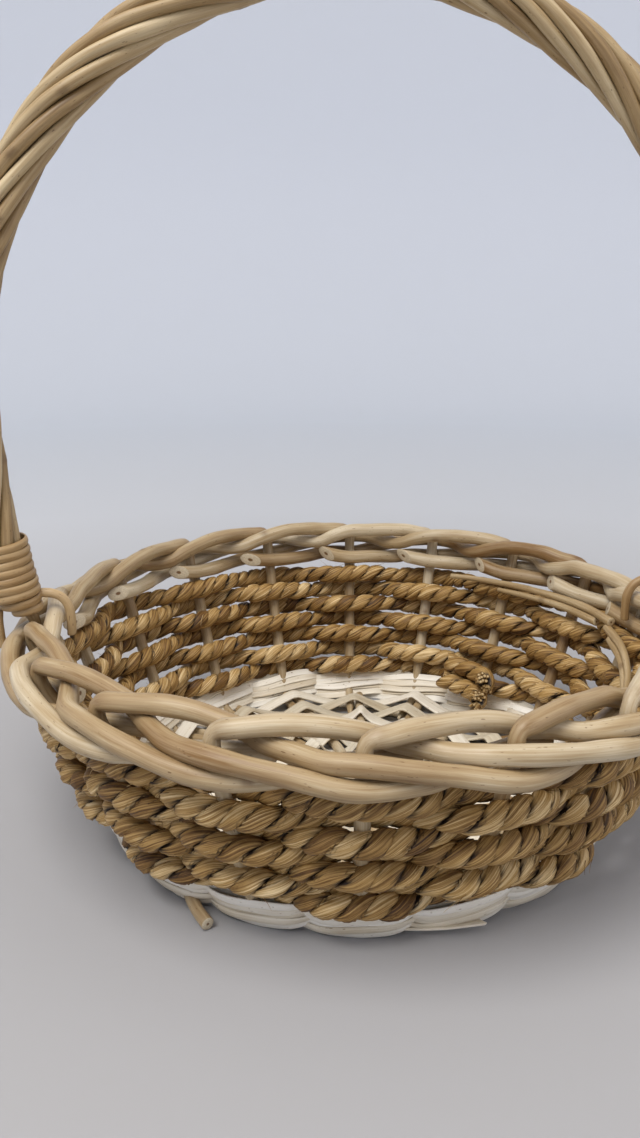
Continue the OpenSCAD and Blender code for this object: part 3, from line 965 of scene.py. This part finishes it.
# ---- Stage, lights and camera ----

FLOOR_RADIUS = 1.5                # of the floor's flat part
TURN_RADIUS = 0.7                 # of the round stretch between the floor and the wall
WALL_TALL = 1.8                   # of the wall's straight part


def stage():
    """A pale floor that turns up into a round wall, open at the top."""
    profile = [(FLOOR_RADIUS * k / 8, 0.0) for k in range(1, 9)]
    profile += [(FLOOR_RADIUS + TURN_RADIUS * math.sin(a), TURN_RADIUS - TURN_RADIUS * math.cos(a))
                for a in np.radians(np.linspace(7.5, 90, 12))]
    profile += [(FLOOR_RADIUS + TURN_RADIUS, TURN_RADIUS + WALL_TALL * k / 6) for k in range(1, 7)]
    around = 96
    points = [(0.0, 0.0, 0.0)]
    for r, z in profile:
        points += [(r * math.cos(a), r * math.sin(a), z) for a in around_angles(around)]
    faces = [(0, 1 + j, 1 + (j + 1) % around) for j in range(around)]
    for ring in range(len(profile) - 1):
        low, high = 1 + ring * around, 1 + (ring + 1) * around
        faces += [(low + j, high + j, high + (j + 1) % around, low + (j + 1) % around)
                  for j in range(around)]
    mesh = bpy.data.meshes.new("studio")
    mesh.from_pydata(points, [], faces)
    mesh.polygons.foreach_set("use_smooth", np.ones(len(faces), bool))
    m = Shader("studio")
    position = m.node("ShaderNodeNewGeometry", {})
    away = m.node("ShaderNodeVectorMath", {0: position}, 1, operation="LENGTH")
    share = m.math("DIVIDE", away, FLOOR_RADIUS + TURN_RADIUS)
    # Painted shade: the floor is darker towards its middle, round the basket, and paler out to the
    # wall.
    m.put(m.surface.inputs["Base Color"],
          m.ramp(share, (0.1, colour(164, 163, 165)), (0.3, colour(193, 195, 200)),
                 (0.68, colour(212, 217, 225)), (1.0, colour(222, 226, 235))))
    m.put(m.surface.inputs["Roughness"], 0.9)
    mesh.materials.append(m.material)
    studio = bpy.data.objects.new("studio", mesh)
    bpy.context.scene.collection.objects.link(studio)


def area_light(name, place, target, size, power, tint):
    """A round soft light that looks at the target."""
    lamp = bpy.data.lights.new(name, "AREA")
    lamp.shape = "DISK"
    lamp.size = size
    lamp.energy = power
    lamp.color = tint
    lit = bpy.data.objects.new(name, lamp)
    lit.location = place
    lit.rotation_euler = (Vector(target) - Vector(place)).to_track_quat("-Z", "Y").to_euler()
    bpy.context.scene.collection.objects.link(lit)


# The photograph's viewing angle: where its camera stands, the turn of its view to the right
# of +Y and down, in radians, and its focal length for a frame whose long side is 1
EYE = (-0.05699, -0.40518, 0.22205)
YAW, PITCH = 0.1014, 0.2699
FOCAL_SHARE = 950 / 1138
SENSOR_MM = 36


def camera():
    """The camera at the photograph's viewing angle."""
    looking = Vector((math.sin(YAW) * math.cos(PITCH), math.cos(YAW) * math.cos(PITCH),
                      -math.sin(PITCH)))
    lens = bpy.data.cameras.new("camera")
    lens.sensor_width = SENSOR_MM
    lens.lens = FOCAL_SHARE * SENSOR_MM
    lens.clip_start = 0.01
    eye = bpy.data.objects.new("camera", lens)
    eye.location = EYE
    eye.rotation_euler = looking.to_track_quat("-Z", "Y").to_euler()
    bpy.context.scene.collection.objects.link(eye)
    bpy.context.scene.camera = eye


def daylight():
    """Soft, slightly warm light from all round."""
    world = bpy.data.worlds.new("world")
    world.use_nodes = True
    sky = world.node_tree.nodes["Background"]
    sky.inputs["Color"].default_value = (1.0, 0.965, 0.92, 1)
    sky.inputs["Strength"].default_value = 0.8
    bpy.context.scene.world = world


stage()
area_light("key", place=(-0.5, -0.6, 1.5), target=(0, 0, 0.1), size=1.0, power=23,
           tint=(1.0, 0.98, 0.95))
area_light("fill", place=(1.3, -0.5, 0.8), target=(0, 0, 0.15), size=1.0, power=3,
           tint=(1.0, 0.93, 0.86))
daylight()
bpy.context.scene.view_settings.view_transform = "Standard"
camera()
